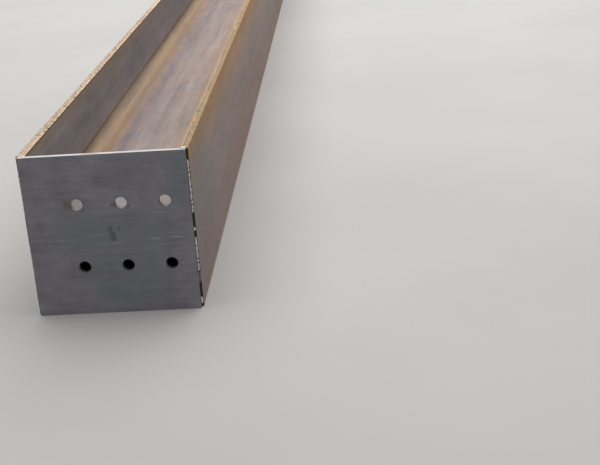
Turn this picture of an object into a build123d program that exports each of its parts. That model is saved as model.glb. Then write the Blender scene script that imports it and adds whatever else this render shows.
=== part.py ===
from build123d import *
import os

# Steel I-beam with a bolted end plate, lying with its web level and its flanges upright.
# All sizes are in millimetres. X runs across the section's depth, Y along the beam away
# from the end plate, and Z up. The origin is the middle of the underside.

# Rolled section
section_depth = 307.9
flange_width = 305.3
flange_thickness = 15.4
web_thickness = 9.9
root_radius = 15.2
toe_edge_radius = 1.5
section_length = 6000.0

# End plate, flush with the flange toes and set back from each flange's outer face
plate_thickness = 10.0
plate_setback = 3.95

# Bolt holes, for 20 mm bolts, in a grid that sits towards the right edge of the plate
hole_diameter = 22.0
hole_pitch = 80.0
hole_gauge = 120.0
hole_columns = 3
hole_rows = 2
hole_edge_distance = 45.0

# Fillet weld between the back of the plate and the inner outline of each trough
trough_weld_leg = 6.0
trough_weld_holdback = 12.0

# Beads in the step between the plate's side edge and the flange's outer face
bead_plate_leg = 6.5
bead_outer_margin = 0.4
bead_crown = 0.6
bead_taper_length = 5.0
bead_end_scale = 0.45
lower_bead_toe_gap = 70.0
lower_bead_web_gap = 14.0
upper_bead_toe_gap = 21.0
upper_bead_web_gap = 30.0
web_tack_length = 9.0
corner_tack_length = 15.0
corner_tack_toe_gap = 5.0

# Tack across the seam on top of the right-hand flange
seam_tack_width = 12.0
seam_tack_height = 2.0

# Worked out from the sizes above
plate_width = section_depth - 2 * plate_setback
plate_height = flange_width
half_length = (plate_thickness + section_length) / 2
seam_y = plate_thickness - half_length
mid_height = flange_width / 2
flange_centre_x = (section_depth - flange_thickness) / 2
inner_face_x = section_depth / 2 - flange_thickness
plate_edge_x = plate_width / 2
hole_grid_x = plate_edge_x - hole_edge_distance - (hole_columns - 1) * hole_pitch / 2
bead_flange_leg = plate_setback - bead_outer_margin

# Rolled section: two upright flanges, a level web and four root fillets
with BuildPart() as i_section:
    with BuildSketch(Plane.XZ.offset(-half_length)):
        with Locations((0, mid_height)):
            Rectangle(section_depth - flange_thickness, web_thickness)
            with GridLocations(2 * flange_centre_x, 0, 2, 1):
                Rectangle(flange_thickness, flange_width)
        corner_levels = vertices().group_by(Axis.Y)
        fillet(corner_levels[1] + corner_levels[2], root_radius)
        corner_levels = vertices().group_by(Axis.Y)
        fillet(corner_levels[0] + corner_levels[-1], toe_edge_radius)
    extrude(amount=section_length)

# End plate with its bolt holes
with BuildPart() as end_plate:
    with BuildSketch(Plane.XZ.offset(-seam_y)):
        with Locations((0, mid_height)):
            Rectangle(plate_width, plate_height)
        with Locations((hole_grid_x, mid_height)):
            with GridLocations(hole_pitch, hole_gauge, hole_columns, hole_rows):
                Circle(hole_diameter / 2, mode=Mode.SUBTRACT)
    extrude(amount=plate_thickness)


def trough_weld(direction):
    """Fillet weld round the inside of one trough, up (+1) or down (-1) from the web."""
    toe_z = mid_height + direction * (flange_width / 2 - trough_weld_holdback)
    web_z = mid_height + direction * web_thickness / 2
    root_z = web_z + direction * root_radius
    root_x = inner_face_x - root_radius
    with BuildPart() as weld:
        with BuildLine(Plane.XZ.offset(-seam_y)) as inner_outline:
            left_leg = Line((-inner_face_x, toe_z), (-inner_face_x, root_z))
            left_root = TangentArc(left_leg @ 1, (-root_x, web_z), tangent=left_leg % 1)
            web_run = Line(left_root @ 1, (root_x, web_z))
            right_root = TangentArc(web_run @ 1, (inner_face_x, root_z), tangent=web_run % 1)
            Line(right_root @ 1, (inner_face_x, toe_z))
        with BuildSketch(Plane.XY.offset(toe_z)):
            with BuildLine():
                Polyline(
                    (-inner_face_x, seam_y),
                    (-inner_face_x + trough_weld_leg, seam_y),
                    (-inner_face_x, seam_y + trough_weld_leg),
                    close=True,
                )
            make_face()
        sweep(path=inner_outline.line)
    return weld.part


def bead_stations(start, end):
    """Places and relative sizes of a bead's cross-sections, tapered at both ends."""
    taper = min(bead_taper_length, (end - start) / 3)
    return [(start, bead_end_scale), (start + taper, 1), (end - taper, 1), (end, bead_end_scale)]


def step_bead(side, start, end):
    """Bead from height start to height end in the step on one side, right (+1) or left (-1)."""
    sections = []
    for height, scale in bead_stations(start, end):
        plate_leg = bead_plate_leg * scale
        flange_leg = bead_flange_leg * scale
        crown = bead_crown * scale
        with BuildSketch(Plane.XY.offset(height)) as section:
            with BuildLine():
                corner = (side * plate_edge_x, seam_y)
                plate_toe = (side * plate_edge_x, seam_y - plate_leg)
                flange_toe = (side * (plate_edge_x + flange_leg), seam_y)
                crest = (side * (plate_edge_x + flange_leg / 2 + crown), seam_y - plate_leg / 2)
                Line(corner, plate_toe)
                ThreePointArc(plate_toe, crest, flange_toe)
                Line(flange_toe, corner)
            make_face()
        sections.append(section.sketch)
    loft(sections=sections, ruled=True)


def edge_welds(side):
    """All beads and tacks in the step on one side of the plate."""
    with BuildPart() as welds:
        step_bead(side, corner_tack_toe_gap, corner_tack_toe_gap + corner_tack_length)
        step_bead(side, lower_bead_toe_gap, mid_height - lower_bead_web_gap)
        step_bead(side, mid_height - web_tack_length / 2, mid_height + web_tack_length / 2)
        step_bead(side, mid_height + upper_bead_web_gap, flange_width - upper_bead_toe_gap)
    return welds.part


# Tack across the seam, on the top edge of the plate and the toe of the right-hand flange
with BuildPart() as seam_tack:
    for across, scale in bead_stations(inner_face_x + toe_edge_radius, plate_edge_x):
        with BuildSketch(Plane.YZ.offset(across)):
            with BuildLine():
                front = (seam_y - seam_tack_width * scale / 2, flange_width)
                crest = (seam_y, flange_width + seam_tack_height * scale)
                back = (seam_y + seam_tack_width * scale / 2, flange_width)
                ThreePointArc(front, crest, back)
                Line(back, front)
            make_face()
    loft(ruled=True)

pieces = {
    "i_section": i_section.part,
    "end_plate": end_plate.part,
    "upper_trough_weld": trough_weld(1),
    "lower_trough_weld": trough_weld(-1),
    "right_edge_welds": edge_welds(1),
    "left_edge_welds": edge_welds(-1),
    "seam_tack": seam_tack.part,
}

os.makedirs("parts", exist_ok=True)
for name, piece in pieces.items():
    piece.label = name
    export_step(piece, f"parts/{name}.step")
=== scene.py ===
import logging
import math
from dataclasses import dataclass, field
from enum import Enum
from functools import partial, reduce
from itertools import pairwise
from typing import NamedTuple

import bpy
from mathutils import Matrix, Vector, noise


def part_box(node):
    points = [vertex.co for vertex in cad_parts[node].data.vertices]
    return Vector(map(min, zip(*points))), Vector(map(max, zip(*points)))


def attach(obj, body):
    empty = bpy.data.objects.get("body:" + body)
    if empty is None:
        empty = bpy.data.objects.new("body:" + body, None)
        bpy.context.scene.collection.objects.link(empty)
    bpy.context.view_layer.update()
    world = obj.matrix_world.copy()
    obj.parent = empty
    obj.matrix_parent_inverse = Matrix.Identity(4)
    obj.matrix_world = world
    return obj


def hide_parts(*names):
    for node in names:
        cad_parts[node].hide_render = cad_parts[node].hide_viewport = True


# Looks of a rolled steel beam with a bolted end plate. Everything is in metres, in the frame
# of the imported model: X across the section's depth, Y along the beam, Z up.

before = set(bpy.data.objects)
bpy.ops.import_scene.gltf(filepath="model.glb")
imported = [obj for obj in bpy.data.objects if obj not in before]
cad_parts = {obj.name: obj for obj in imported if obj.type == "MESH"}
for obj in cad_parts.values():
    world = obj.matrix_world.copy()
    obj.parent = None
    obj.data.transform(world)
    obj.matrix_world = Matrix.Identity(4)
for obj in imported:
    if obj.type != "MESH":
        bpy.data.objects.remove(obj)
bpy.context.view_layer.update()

MM = 0.001
MAP_NAME = "OFBake"
# The range that a random pattern mostly keeps to.
USUAL_SWING = (0.3, 0.7)
# The stretch of the plate's side seams left without painted shade: its middle height, its reach and how
# softly it ends.
UNSHADED_SEAM = (59 * MM, 6 * MM, 7 * MM)

log = logging.getLogger("beam")

Point = tuple[float, float, float]
Lane = tuple[float, float, float]
Spot = tuple[float, float]
Span = tuple[float, float]
Outline = list[tuple[Vector, Vector]]
Socket = bpy.types.NodeSocket
Value = Socket | float
Inputs = dict[str | int, object]


class Side(Enum):
    """The two flanges, by the sign of their X."""

    LEFT = -1
    RIGHT = 1


class Trough(Enum):
    """The two troughs between the flanges, by which way they open from the web."""

    UPPER = 1
    LOWER = -1


class Tone(NamedTuple):
    """A colour as shares of reflected red, green and blue light."""

    red: float
    green: float
    blue: float

    def rgba(self) -> tuple[float, float, float, float]:
        """The colour as a shader socket takes it."""
        return (*self, 1.0)


Stops = list[tuple[float, Tone]]


class Recipe:
    """The node recipe of one finish, from the place on the object to the shader."""

    def __init__(self, name: str) -> None:
        """Starts an empty material.

        Args:
            name: The material's name.
        """
        self.material = bpy.data.materials.new(name)
        self.material.use_nodes = True
        self.tree = self.material.node_tree
        self.tree.nodes.clear()
        self.place = self.node("ShaderNodeTexCoord").outputs["Object"]
        self.across, self.along, self.up = self.node("ShaderNodeSeparateXYZ", {0: self.place}).outputs

    def node(self, kind: str, inputs: Inputs | None = None, **settings: object) -> bpy.types.Node:
        """Adds a node.

        Args:
            kind: The type of node.
            inputs: What its inputs get, by name or number: a socket, a number, a vector or a Tone.
            **settings: Properties to set on it.

        Returns:
            The new node.
        """
        made = self.tree.nodes.new(kind)
        for name, setting in settings.items():
            setattr(made, name, setting)
        for key, value in (inputs or {}).items():
            socket = made.inputs[key]
            if isinstance(value, Socket):
                self.tree.links.new(value, socket)
            elif isinstance(value, Tone) and socket.type == "RGBA":
                socket.default_value = value.rgba()
            else:
                socket.default_value = value
        return made

    def maths(self, operation: str, first: Value, second: Value = 0.0) -> Socket:
        """One step of arithmetic with one value or two."""
        return self.node("ShaderNodeMath", {0: first, 1: second}, operation=operation).outputs[0]

    def fold(self, operation: str, *values: Value) -> Value:
        """Carries one operation through several values, from the first to the last."""
        return reduce(partial(self.maths, operation), values)

    def product(self, *values: Value) -> Value:
        """Several values multiplied, such as masks that have to hold at once."""
        return self.fold("MULTIPLY", *values)

    def total(self, *values: Value) -> Value:
        """Several values added up."""
        return self.fold("ADD", *values)

    def either(self, *masks: Value) -> Value:
        """Where at least one of several masks holds."""
        return self.fold("MAXIMUM", *masks)

    def distance(self, value: Value, middle: float) -> Socket:
        """How far a value is from a middle one, whichever way."""
        return self.maths("ABSOLUTE", self.maths("SUBTRACT", value, middle))

    def length(self, across: Value, up: Value) -> Socket:
        """How long a way is that runs this far across and this far up."""
        return self.maths("SQRT", self.total(self.product(across, across), self.product(up, up)))

    def shifted(self, value: Value, amount: float, pattern: Value) -> Socket:
        """The value, moved to and fro by up to half the amount, with a pattern about 0.5."""
        swing = self.maths("SUBTRACT", pattern, 0.5)
        return self.total(value, self.product(swing, amount))

    def ease(self, value: Value, start: float, end: float, low: Value = 0.0, high: Value = 1.0) -> Socket:
        """A smooth step from low to high while the value runs from start to end, up or down."""
        inputs = {"Value": value, "From Min": start, "From Max": end, "To Min": low, "To Max": high}
        return self.node("ShaderNodeMapRange", inputs, interpolation_type="SMOOTHSTEP").outputs[0]

    def spread(self, pattern: Value, low: float, high: float) -> Socket:
        """Levels that follow a pattern's usual swing, from low to high."""
        return self.ease(pattern, *USUAL_SWING, low, high)

    def varied(self, level: Value, *swings: tuple[Socket, float]) -> Socket:
        """A level that patterns raise and lower, each by up to the swing given with it."""
        return self.total(level, *(self.spread(pattern, -swing, swing) for pattern, swing in swings))

    def band(self, value: Value, middle: float, reach: float, soft: float) -> Socket:
        """A mask that is full within reach of the middle value and fades out over soft beyond."""
        return self.ease(self.distance(value, middle), reach + soft, reach)

    def cloud(
        self,
        steps: Point,
        offset: Point = (0.0, 0.0, 0.0),
        detail: float = 4.0,
        roughness: float = 0.55,
        swirl: float = 0.0,
    ) -> Socket:
        """A soft random pattern.

        Args:
            steps: Pattern steps per metre along X, Y and Z.
            offset: A shift, so that two patterns differ.
            detail: How many finer layers it has.
            roughness: How strong the finer layers are.
            swirl: How much it is distorted.

        Returns:
            The pattern, from 0 to 1 about 0.5.
        """
        mapping = {"Vector": self.place, "Scale": steps, "Location": offset}
        inputs = {"Vector": self.node("ShaderNodeMapping", mapping).outputs[0], "Scale": 1.0}
        inputs |= {"Detail": detail, "Roughness": roughness, "Distortion": swirl}
        return self.node("ShaderNodeTexNoise", inputs).outputs[0]

    def blend(self, under: object, over: object, *masks: Value) -> Socket:
        """Lays one colour over another, as far as its masks, multiplied, let it show."""
        inputs = {0: self.product(*masks), 6: under, 7: over}
        return self.node("ShaderNodeMix", inputs, data_type="RGBA", clamp_factor=True).outputs[2]

    def layered(self, colour: object, *layers: tuple[object, ...]) -> Socket:
        """Lays several colours over one, in order.

        Args:
            colour: The lowest colour.
            *layers: The others, each followed by its masks.

        Returns:
            The mixed colour.
        """
        for over, *masks in layers:
            colour = self.blend(colour, over, *masks)
        return colour

    def dimmed(self, colour: object, level: Value) -> Socket:
        """A colour times a level of light and dark, where 1 leaves it as it is."""
        return self.node("ShaderNodeVectorMath", {0: colour, "Scale": level}, operation="SCALE").outputs[0]

    def ramp(self, value: Value, stops: Stops) -> Socket:
        """A colour that follows a value.

        Args:
            value: The value, from 0 to 1.
            stops: Places on that range, each with its colour.

        Returns:
            The colour.
        """
        ramp = self.node("ShaderNodeValToRGB", {0: value})
        elements = ramp.color_ramp.elements
        for element, (position, tone) in zip(elements, (stops[0], stops[-1])):
            element.position = position
            element.color = tone.rgba()
        for position, tone in stops[1:-1]:
            elements.new(position).color = tone.rgba()
        return ramp.outputs[0]

    def relief(self, height: Value, depth: float, strength: float) -> Socket:
        """The surface's direction with fine relief, its height from 0 to 1 times the depth."""
        inputs = {"Height": height, "Distance": depth, "Strength": strength}
        return self.node("ShaderNodeBump", inputs).outputs[0]

    def finish(
        self,
        colour: object,
        roughness: Value,
        relief: Socket | None = None,
        metallic: float = 0.0,
        shine: float = 0.5,
    ) -> bpy.types.Material:
        """Ends the recipe with its shader.

        Args:
            colour: The base colour.
            roughness: How matte the surface is.
            relief: The surface's direction with its fine relief.
            metallic: How much of it is bare metal.
            shine: The specular level.

        Returns:
            The finished material.
        """
        inputs = {"Base Color": colour, "Roughness": roughness}
        inputs |= {"Metallic": metallic, "Specular IOR Level": shine}
        if relief is not None:
            inputs["Normal"] = relief
        shader = self.node("ShaderNodeBsdfPrincipled", inputs)
        self.node("ShaderNodeOutputMaterial", {"Surface": shader.outputs[0]})
        return self.material


@dataclass
class SectionSizes:
    """The rolled section's sizes that its mesh, its finish and the welds need.

    half_depth and inner_face run from the beam's middle plane to a flange's two faces, top is
    the height of the upper toes, middle the height of the web, near_end the end with the plate.
    """

    flange_thickness: float = 15.4 * MM
    web_thickness: float = 9.9 * MM
    root_radius: float = 27 * MM
    toe_radius: float = 1.5 * MM
    half_depth: float = field(init=False)
    inner_face: float = field(init=False)
    top: float = field(init=False)
    middle: float = field(init=False)
    near_end: float = field(init=False)
    far_end: float = field(init=False)

    def __post_init__(self) -> None:
        """Reads the overall sizes once from the section's CAD node."""
        low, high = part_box("i_section")
        self.half_depth = high.x
        self.inner_face = high.x - self.flange_thickness
        self.top = high.z
        self.middle = high.z / 2
        self.near_end, self.far_end = low.y, high.y


@dataclass
class PlateSizes:
    """The end plate's outline and bolt holes, which its mesh and its finish need.

    low and high are its corners, middle is its middle height, and hole_x and hole_z are the
    places of the holes' columns and rows.
    """

    hole_radius: float = 11 * MM
    pitch: float = 80 * MM
    gauge: float = 120 * MM
    edge_distance: float = 45 * MM
    columns: int = 3
    low: Vector = field(init=False)
    high: Vector = field(init=False)
    middle: float = field(init=False)
    hole_x: list[float] = field(init=False)
    hole_z: list[float] = field(init=False)

    def __post_init__(self) -> None:
        """Reads the outline once from the plate's CAD node and sets out the holes."""
        self.low, self.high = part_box("end_plate")
        self.middle = (self.low.z + self.high.z) / 2
        last = self.high.x - self.edge_distance
        self.hole_x = [last - step * self.pitch for step in reversed(range(self.columns))]
        self.hole_z = [self.middle - self.gauge / 2, self.middle + self.gauge / 2]

    def holes(self) -> list[Spot]:
        """The X and Z of each hole's middle."""
        return [(x, z) for x in self.hole_x for z in self.hole_z]


class SteelRecipe(Recipe):
    """The section's recipe, with its random patterns, its distances and its main masks.

    The patterns run from streak, which is long, over hairline and thin, which are narrow, to
    cloudy, patch, crumbs and grit, which are ever smaller. off_axis and off_web are distances
    from the beam's middle plane and from the web's, and from_plate runs along the beam.
    """

    def __init__(self) -> None:
        """Starts the material and adds what its layers are made of."""
        super().__init__("mill_scale_and_rust")
        self.sizes = sizes = SectionSizes()
        self.streak = self.cloud((60, 1.1, 60), detail=6, roughness=0.6)
        self.hairline = self.cloud((400, 5, 400), (3.0, 1.0, 2.0))
        self.thin = self.cloud((120, 1.5, 120), (5.0, 2.0, 1.0), detail=3)
        self.patch = self.cloud((36, 8, 36), (7.0, 2.0, 5.0), detail=5, roughness=0.6, swirl=0.4)
        self.cloudy = self.cloud((9, 2.5, 9), (1.0, 5.0, 3.0))
        self.grit = self.cloud((340, 240, 340), roughness=0.7)
        self.crumbs = self.cloud((110, 85, 110), (4.0, 0.0, 1.0), detail=3, roughness=0.5)

        middle = sizes.middle
        self.off_axis = self.distance(self.across, 0.0)
        self.off_web = self.distance(self.up, middle)
        self.from_plate = self.maths("SUBTRACT", self.along, sizes.near_end)
        self.outside = self.ease(self.off_axis, sizes.half_depth - 4 * MM, sizes.half_depth - 3 * MM)
        self.inside = self.ease(self.outside, 1, 0)
        self.web_face = sizes.web_thickness / 2
        self.root_end = self.web_face + sizes.root_radius
        within_roots = self.ease(self.off_web, self.root_end + 6 * MM, self.root_end - 4 * MM)
        self.on_web = self.product(within_roots, self.inside)
        self.on_toe = self.ease(self.off_web, middle - 1.3 * MM, middle - 0.8 * MM)
        self.upper = self.ease(self.up, 100 * MM, 200 * MM, 0.15, 1.0)
        below_toe = self.shifted(self.shifted(self.off_web, 44 * MM, self.cloudy), 22 * MM, self.crumbs)
        spilt = self.ease(below_toe, middle - 26 * MM, middle - 2 * MM, 0.0, 0.7)
        self.spill = self.product(self.upper, spilt)

    def sided(self, left: float, right: float) -> Socket:
        """A level that differs between the left flange and the right one."""
        return self.ease(self.across, -10 * MM, 10 * MM, left, right)


@dataclass(frozen=True)
class MillScaleFinish:
    """Hot-rolled scale with rust: streaks along the beam, rusty toes, sawn ends.

    A lane is a stripe along a face: its middle, its reach either way and how softly it ends.
    A run says how far from the plate a tint of the faces starts and where it is full.
    """

    recipe: SteelRecipe = field(default_factory=SteelRecipe)
    root_olive: Tone = Tone(0.364, 0.277, 0.194)
    root_khaki: Tone = Tone(0.392, 0.252, 0.152)
    rust_tan: Tone = Tone(0.335, 0.217, 0.133)
    brown_scale: Tone = Tone(0.260, 0.189, 0.165)
    violet_scale: Tone = Tone(0.230, 0.175, 0.172)
    pale_scale: Tone = Tone(0.248, 0.188, 0.169)
    grey_scale: Tone = Tone(0.232, 0.177, 0.160)
    pink_scale: Tone = Tone(0.305, 0.222, 0.186)
    warm_scale: Tone = Tone(0.360, 0.237, 0.155)
    thin_rust: Tone = Tone(0.335, 0.215, 0.132)
    thin_scale: Tone = Tone(0.200, 0.162, 0.172)
    slate: Tone = Tone(0.215, 0.185, 0.200)
    tan_bloom: Tone = Tone(0.306, 0.224, 0.180)
    orange: Tone = Tone(0.340, 0.190, 0.085)
    blue_scale: Tone = Tone(0.160, 0.155, 0.215)
    green_scale: Tone = Tone(0.235, 0.225, 0.175)
    weld_grey_and_plate_shade: Tone = Tone(0.215, 0.205, 0.218)
    inner_foot: Tone = Tone(0.285, 0.245, 0.236)
    inner_low: Tone = Tone(0.268, 0.238, 0.246)
    inner_middle: Tone = Tone(0.241, 0.214, 0.230)
    inner_high: Tone = Tone(0.246, 0.222, 0.207)
    inner_brow: Tone = Tone(0.292, 0.208, 0.130)
    outer_foot: Tone = Tone(0.262, 0.170, 0.140)
    outer_low: Tone = Tone(0.215, 0.155, 0.130)
    outer_middle: Tone = Tone(0.218, 0.162, 0.147)
    outer_shoulder: Tone = Tone(0.256, 0.173, 0.130)
    outer_high: Tone = Tone(0.308, 0.178, 0.100)
    outer_brow: Tone = Tone(0.345, 0.170, 0.045)
    red_scale: Tone = Tone(0.235, 0.145, 0.135)
    edge_highlight: Tone = Tone(0.430, 0.330, 0.280)
    toe_left: Tone = Tone(0.705, 0.585, 0.465)
    toe_right: Tone = Tone(0.400, 0.280, 0.166)
    toe_rust: Tone = Tone(0.360, 0.205, 0.095)
    crumb: Tone = Tone(0.120, 0.075, 0.042)
    pit: Tone = Tone(0.260, 0.180, 0.110)
    sawn: Tone = Tone(0.300, 0.290, 0.280)
    cool_scale: Tone = Tone(0.238, 0.198, 0.200)
    heat_tint: Tone = Tone(0.100, 0.105, 0.112)
    step_shade: Tone = Tone(0.035, 0.032, 0.032)
    slate_lane: Lane = (15 * MM, 85 * MM, 25 * MM)
    rust_lane: Lane = (-112 * MM, 10 * MM, 22 * MM)
    blue_lane: Lane = (-78 * MM, 3 * MM, 13 * MM)
    green_lane: Lane = (46 * MM, 8 * MM, 22 * MM)
    outer_green_lane: Lane = (225 * MM, 20 * MM, 40 * MM)
    cool_run: Span = (1.1, 0.2)
    lighter_run: Span = (0.75, 0.2)
    tint_run: Span = (420 * MM, 20 * MM)
    plate_shade_run: Span = (270 * MM, 130 * MM)

    def web(self) -> Socket:
        """The web's colour, in bands along the beam.

        Returns:
            The colour.
        """
        recipe = self.recipe
        wall = recipe.sizes.inner_face
        place = recipe.shifted(recipe.across, 22 * MM, recipe.streak)
        share = recipe.maths("DIVIDE", recipe.total(place, wall), 2 * wall)
        bands = [
            (0.01, self.root_olive),
            (0.06, self.root_khaki),
            (0.12, self.rust_tan),
            (0.19, self.brown_scale),
            (0.27, self.violet_scale),
            (0.38, self.pale_scale),
            (0.47, self.grey_scale),
            (0.61, self.pink_scale),
            (0.70, self.warm_scale),
            (0.94, self.root_khaki),
        ]
        thin, patch = recipe.thin, recipe.patch
        blotch = recipe.cloud((22, 6.5, 22), (9.0, 4.0, 2.0), swirl=0.7)
        middle = recipe.band(place, *self.slate_lane)
        left, blue, green = (
            recipe.band(place, *lane) for lane in (self.rust_lane, self.blue_lane, self.green_lane)
        )
        return recipe.layered(
            recipe.ramp(share, bands),
            (self.thin_rust, recipe.ease(thin, 0.52, 0.66, 0.0, 0.38)),
            (self.thin_scale, recipe.ease(thin, 0.46, 0.34, 0.0, 0.36)),
            (self.slate, middle, recipe.ease(blotch, 0.52, 0.64, 0.0, 0.45)),
            (self.tan_bloom, middle, recipe.ease(blotch, 0.47, 0.35, 0.0, 0.30)),
            (self.orange, left, recipe.ease(patch, 0.42, 0.68, 0.0, 0.45)),
            (self.blue_scale, blue, recipe.ease(patch, 0.46, 0.34, 0.0, 0.5)),
            (self.green_scale, green, recipe.ease(patch, 0.47, 0.64, 0.0, 0.35)),
        )

    def inner_face(self) -> Socket:
        """The colour of the flanges' inner faces, in bands from the web to the toes.

        Returns:
            The colour.
        """
        recipe = self.recipe
        place = recipe.shifted(recipe.off_web, 60 * MM, recipe.streak)
        share = recipe.maths("DIVIDE", place, recipe.sizes.middle)
        bands = [
            (0.12, self.inner_foot),
            (0.32, self.inner_low),
            (0.58, self.inner_middle),
            (0.88, self.inner_high),
        ]
        near = recipe.ease(recipe.from_plate, *self.lighter_run)
        lighter = recipe.product(near, recipe.ease(recipe.off_web, 105 * MM, 130 * MM))
        return recipe.dimmed(recipe.ramp(share, bands), recipe.ease(lighter, 0, 1, 1.0, 1.20))

    def outer_face(self) -> Socket:
        """The colour of the flanges' outer faces, in bands by height.

        Returns:
            The colour.
        """
        recipe = self.recipe
        place = recipe.shifted(recipe.up, 60 * MM, recipe.streak)
        bands = [
            (0.10, self.outer_foot),
            (0.28, self.outer_low),
            (0.56, self.outer_middle),
            (0.74, self.outer_shoulder),
            (0.87, self.outer_high),
            (0.97, self.outer_brow),
        ]
        low = recipe.ease(place, 170 * MM, 60 * MM)
        green = recipe.band(place, *self.outer_green_lane)
        return recipe.layered(
            recipe.ramp(recipe.maths("DIVIDE", place, recipe.sizes.top), bands),
            (self.red_scale, low, recipe.ease(recipe.patch, 0.48, 0.64, 0.0, 0.5)),
            (self.green_scale, green, recipe.ease(recipe.patch, 0.54, 0.38, 0.0, 0.3)),
        )

    def faces(self) -> Socket:
        """The colour of web, roots and flange faces, with their light and dark and painted shade along the
        roots.

        Returns:
            The colour.
        """
        recipe = self.recipe
        colour = recipe.layered(
            self.inner_face(),
            (self.outer_face(), recipe.outside),
            (self.web(), recipe.on_web),
        )
        web_face, root_end = recipe.web_face, recipe.root_end
        # Painted shade: a dark line where each root fillet meets its flange, and the fillets below it
        # darker.
        root = recipe.band(recipe.off_web, root_end - 2.5 * MM, 1.5 * MM, 3.5 * MM)
        root = recipe.product(root, recipe.inside)
        off_face = recipe.ease(recipe.off_web, web_face + 4 * MM, root_end - 4 * MM)
        below_root = recipe.ease(recipe.off_web, root_end + 2 * MM, root_end - 2 * MM)
        fillet_shade = recipe.product(off_face, below_root, recipe.inside)
        calm = recipe.ease(recipe.streak, 0.25, 0.75, 0.92, 1.07)
        lively = recipe.product(recipe.on_web, recipe.ease(recipe.streak, 0.25, 0.75, -0.10, 0.07))
        swings = ((recipe.hairline, 0.10), (recipe.patch, 0.10), (recipe.cloudy, 0.08))
        light = recipe.varied(recipe.total(calm, lively), *swings)
        shades = (recipe.ease(root, 0, 1, 1.0, 0.68), recipe.ease(fillet_shade, 0, 1, 1.0, 0.80))
        colour = recipe.dimmed(colour, recipe.product(light, recipe.product(*shades)))
        flecks = recipe.ease(recipe.product(recipe.grit, recipe.patch), 0.36, 0.42, 0.0, 0.55)
        return recipe.blend(colour, self.crumb, flecks)

    def toe_edges(self, colour: Socket) -> Socket:
        """Lays rust and crumbs below the upper toes with a painted shadow line under their inner edges,
        and a painted highlight line above the lower ones.

        Args:
            colour: The faces' colour.

        Returns:
            The mixed colour.
        """
        recipe = self.recipe
        top, off_web, crumbs = recipe.sizes.middle, recipe.off_web, recipe.crumbs
        brow = recipe.blend(self.inner_brow, self.outer_brow, recipe.outside)
        at_edge = recipe.ease(recipe.shifted(off_web, 9 * MM, crumbs), top - 6 * MM, top - 3 * MM)
        crumbly = recipe.ease(crumbs, 0.50, 0.42, 0.1, 0.8)
        # Painted shadow: a thin dark line just under the inner edges of the upper toes.
        toe_edge_shadow = recipe.ease(recipe.shifted(off_web, 5 * MM, crumbs), top - 5.5 * MM, top - 3 * MM)
        # Painted highlight: a pale line along the lower edge of the outer faces.
        rubbed = recipe.ease(recipe.shifted(recipe.up, 8 * MM, crumbs), 11 * MM, 3 * MM, 0.0, 0.9)
        return recipe.layered(
            colour,
            (brow, recipe.spill),
            (self.crumb, at_edge, recipe.upper, crumbly),
            (self.crumb, toe_edge_shadow, recipe.upper, recipe.inside, 0.75),
            (self.edge_highlight, rubbed, recipe.outside),
        )

    def heat(self, colour: Socket) -> Socket:
        """Lays the tints that grow towards the welded plate over the faces, with the plate's painted shade
        on the web.

        Args:
            colour: The faces' colour.

        Returns:
            The mixed colour.
        """
        recipe = self.recipe
        near_plate = recipe.shifted(recipe.from_plate, 40 * MM, recipe.crumbs)
        greyed = recipe.ease(recipe.from_plate, *self.cool_run, 0.0, 0.32)
        below_brow = recipe.ease(recipe.up, 225 * MM, 285 * MM, 1.0, 0.0)
        tint = recipe.ease(near_plate, *self.tint_run, 0.0, 0.48)
        high = recipe.ease(recipe.up, 265 * MM, 298 * MM, 1.0, 0.25)
        low = recipe.ease(recipe.up, 20 * MM, 140 * MM, 0.6, 1.0)
        plate_shade = recipe.ease(near_plate, *self.plate_shade_run, 0.0, 0.65)
        return recipe.layered(
            colour,
            (self.cool_scale, greyed, below_brow, recipe.outside),
            (self.heat_tint, tint, recipe.outside, high, low),
            # Partly weld discolour, partly painted shade of the plate: the web turns darker grey towards
            # the plate.
            (self.weld_grey_and_plate_shade, tint, recipe.on_web),
            (self.weld_grey_and_plate_shade, plate_shade, recipe.on_web),
        )

    def toe(self) -> Socket:
        """The colour of the flange toes, pale with dark crumbs of rust and pits, a dark line along each,
        painted highlights in bright specks and painted light across them.

        Returns:
            The colour.
        """
        recipe = self.recipe
        inner, outer, crumbs = recipe.sizes.inner_face, recipe.sizes.half_depth, recipe.crumbs
        colour = recipe.blend(self.toe_left, self.toe_right, recipe.sided(0.0, 1.0))
        rusty = recipe.total(crumbs, recipe.product(recipe.cloudy, 0.5))
        colour = recipe.blend(colour, self.toe_rust, recipe.ease(rusty, 0.66, 0.80, 0.0, 0.55))
        colour = recipe.dimmed(colour, recipe.ease(recipe.grit, 0.34, 0.66, 0.78, 1.18))
        pits_and_glints = recipe.cloud((270, 180, 270), (8.0, 1.0, 6.0), detail=2)
        speckled = recipe.sided(0.75, 0.45)
        colour = recipe.blend(colour, self.pit, recipe.ease(pits_and_glints, 0.45, 0.36), speckled)
        # Painted highlights: brighter specks where the pattern is high.
        colour = recipe.blend(colour, recipe.dimmed(colour, 1.35), recipe.ease(pits_and_glints, 0.55, 0.65), speckled)
        # A wavering dark line along each toe.
        drawn = recipe.cloud((120, 9, 120), (2.0, 6.0, 0.0), detail=3)
        wavy = recipe.shifted(recipe.off_axis, 6 * MM, drawn)
        lane = recipe.band(wavy, inner + 6 * MM, 0.5 * MM, 2 * MM)
        dark_line = recipe.product(lane, recipe.ease(drawn, 0.36, 0.56))
        colour = recipe.dimmed(colour, recipe.ease(dark_line, 0, 1, 1.05, recipe.sided(0.80, 0.62)))
        # Painted light: each toe brighter at its inner side and darker towards its outer side.
        toe_painted_light = recipe.ease(recipe.off_axis, inner + 3 * MM, outer - 3 * MM, 1.10, 0.84)
        colour = recipe.dimmed(colour, toe_painted_light)
        return recipe.blend(colour, self.crumb, recipe.ease(crumbs, 0.45, 0.37), recipe.sided(0.92, 0.45))

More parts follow.
